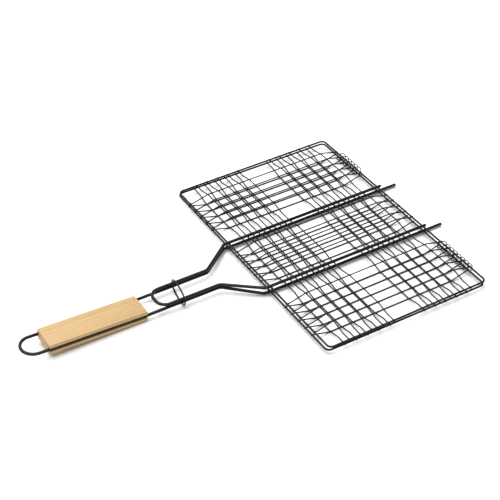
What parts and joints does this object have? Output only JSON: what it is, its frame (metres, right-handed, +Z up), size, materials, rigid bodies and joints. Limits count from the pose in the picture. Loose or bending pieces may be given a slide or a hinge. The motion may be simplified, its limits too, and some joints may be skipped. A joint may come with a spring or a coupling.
{
  "type": "grill basket",
  "caption": "Hinged wire grill basket with food wells, a forked wire handle, a wooden grip with a hanging loop, and a slide ring that locks the lid.",
  "frame": {"origin": "on the ground under the middle of the whole object", "axes": "+X from the hanging loop along the handle to the hinge side, +Y across the basket to the left, +Z up"},
  "size_m": [0.5306, 0.3365, 0.0185],
  "materials": {
    "coated_wire": "semi-gloss black non-stick coating",
    "grip_wood": "plain light hardwood, sanded"
  },
  "bodies": {
    "base": {"lower_frame": "coated_wire", "lower_cross_wire_01": "coated_wire", "lower_cross_wire_02": "coated_wire", "lower_cross_wire_03": "coated_wire", "lower_cross_wire_04": "coated_wire", "lower_cross_wire_05": "coated_wire", "lower_cross_wire_06": "coated_wire", "lower_cross_wire_07": "coated_wire", "lower_cross_wire_08": "coated_wire", "lower_cross_wire_09": "coated_wire", "lower_cross_wire_10": "coated_wire", "lower_lengthwise_wire_01": "coated_wire", "lower_lengthwise_wire_02": "coated_wire", "lower_lengthwise_wire_03": "coated_wire", "lower_lengthwise_wire_04": "coated_wire", "lower_lengthwise_wire_05": "coated_wire", "lower_lengthwise_wire_06": "coated_wire", "lower_lengthwise_wire_07": "coated_wire", "lower_lengthwise_wire_08": "coated_wire", "lower_lengthwise_wire_09": "coated_wire", "lower_lengthwise_wire_10": "coated_wire", "lower_lengthwise_wire_11": "coated_wire", "lower_lengthwise_wire_12": "coated_wire", "lower_lengthwise_wire_13": "coated_wire", "lower_lengthwise_wire_14": "coated_wire", "lower_lengthwise_wire_15": "coated_wire", "lower_handle_wire": "coated_wire", "wooden_grip": "grip_wood", "hinge_coil_left": "coated_wire", "hinge_coil_right": "coated_wire"},
    "lid": {"lid_frame": "coated_wire", "lid_cross_wire_01": "coated_wire", "lid_cross_wire_02": "coated_wire", "lid_cross_wire_03": "coated_wire", "lid_cross_wire_04": "coated_wire", "lid_cross_wire_05": "coated_wire", "lid_cross_wire_06": "coated_wire", "lid_cross_wire_07": "coated_wire", "lid_cross_wire_08": "coated_wire", "lid_cross_wire_09": "coated_wire", "lid_cross_wire_10": "coated_wire", "lid_lengthwise_wire_01": "coated_wire", "lid_lengthwise_wire_02": "coated_wire", "lid_lengthwise_wire_03": "coated_wire", "lid_lengthwise_wire_04": "coated_wire", "lid_lengthwise_wire_05": "coated_wire", "lid_lengthwise_wire_06": "coated_wire", "lid_lengthwise_wire_07": "coated_wire", "lid_lengthwise_wire_08": "coated_wire", "lid_lengthwise_wire_09": "coated_wire", "lid_lengthwise_wire_10": "coated_wire", "lid_lengthwise_wire_11": "coated_wire", "lid_lengthwise_wire_12": "coated_wire", "lid_lengthwise_wire_13": "coated_wire", "lid_lengthwise_wire_14": "coated_wire", "lid_lengthwise_wire_15": "coated_wire", "lid_handle_wire": "coated_wire"},
    "ring": {"slide_ring": "coated_wire"}
  },
  "joints": [
    {"name": "lid_hinge", "type": "hinge", "parent": "base", "child": "lid", "pos_m": [0.23808, 0, 0.00915], "axis": [0, 1, 0], "range_deg": [0, 91]},
    {"name": "ring_slide", "type": "slide", "parent": "base", "child": "ring", "axis": [1, 0, 0], "range_m": [-0.0425, 0.036]}
  ]
}
